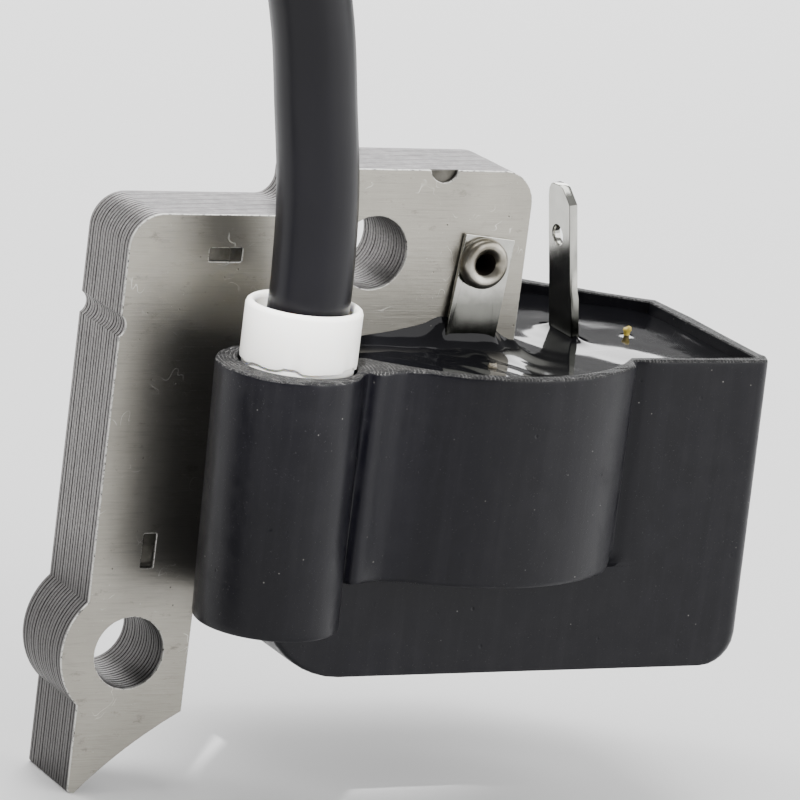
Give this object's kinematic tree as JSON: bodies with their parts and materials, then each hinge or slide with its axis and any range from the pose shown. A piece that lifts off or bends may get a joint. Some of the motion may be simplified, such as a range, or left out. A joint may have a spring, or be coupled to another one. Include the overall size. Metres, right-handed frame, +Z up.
{
  "type": "ignition coil",
  "caption": "Ignition coil module of a small two-stroke engine: laminated core, potted coil box, earth strip, stop-wire tab and high-tension lead with plug boot.",
  "frame": {"origin": "centre of the lower mounting hole at the front lamination's face", "axes": "+X across the core from the mounting leg to the coil box, +Y along the mounting holes from the front face to the back of the stack, +Z up from the pole foot to the yoke"},
  "size_m": [0.1197, 0.0548, 0.1071],
  "materials": {
    "core_steel": "rolled silicon steel, satin",
    "housing_plastic": "moulded, satin",
    "potting_epoxy": "cast, high gloss",
    "bobbin_plastic": "moulded, matt",
    "enamelled_copper": "enamelled copper wire",
    "brass": "turned",
    "ferrule_plastic": "natural white, matt",
    "lead_jacket": "extruded, semi-gloss",
    "boot_rubber": "moulded, matt",
    "spring_steel": "zinc plated",
    "tinned_steel": "tin plated",
    "rivet_steel": "nickel plated, rolled",
    "board_laminate": "glass epoxy",
    "capacitor_body": "dipped epoxy",
    "component_black": "moulded epoxy",
    "resistor_body": "lacquered",
    "red_sleeve": "extruded",
    "green_sleeve": "extruded",
    "yellow_sleeve": "extruded"
  },
  "bodies": {
    "root": {"core_front_lamination": "core_steel", "core_inner_laminations": "core_steel", "core_rear_lamination": "core_steel", "coil_housing": "housing_plastic", "potting_compound": "potting_epoxy", "charge_bobbin": "bobbin_plastic", "charge_winding": "enamelled_copper", "trigger_winding": "enamelled_copper", "primary_bobbin": "bobbin_plastic", "primary_winding": "enamelled_copper", "secondary_bobbin": "bobbin_plastic", "secondary_winding": "enamelled_copper", "ht_link_wire": "enamelled_copper", "ht_contact_spike": "brass", "lead_ferrule": "ferrule_plastic", "ht_lead": "lead_jacket", "plug_boot": "boot_rubber", "plug_terminal_spring": "spring_steel", "kill_terminal": "tinned_steel", "ground_strip": "tinned_steel", "ground_rivet": "rivet_steel", "control_board": "board_laminate", "storage_capacitor": "capacitor_body", "thyristor": "component_black", "charge_diode": "component_black", "clamp_diode": "component_black", "gate_resistors": "resistor_body", "charge_link_wires": "enamelled_copper", "kill_link_wire": "red_sleeve", "ground_link_wire": "green_sleeve", "sleeved_wire_end": "yellow_sleeve"}
  },
  "joints": []
}
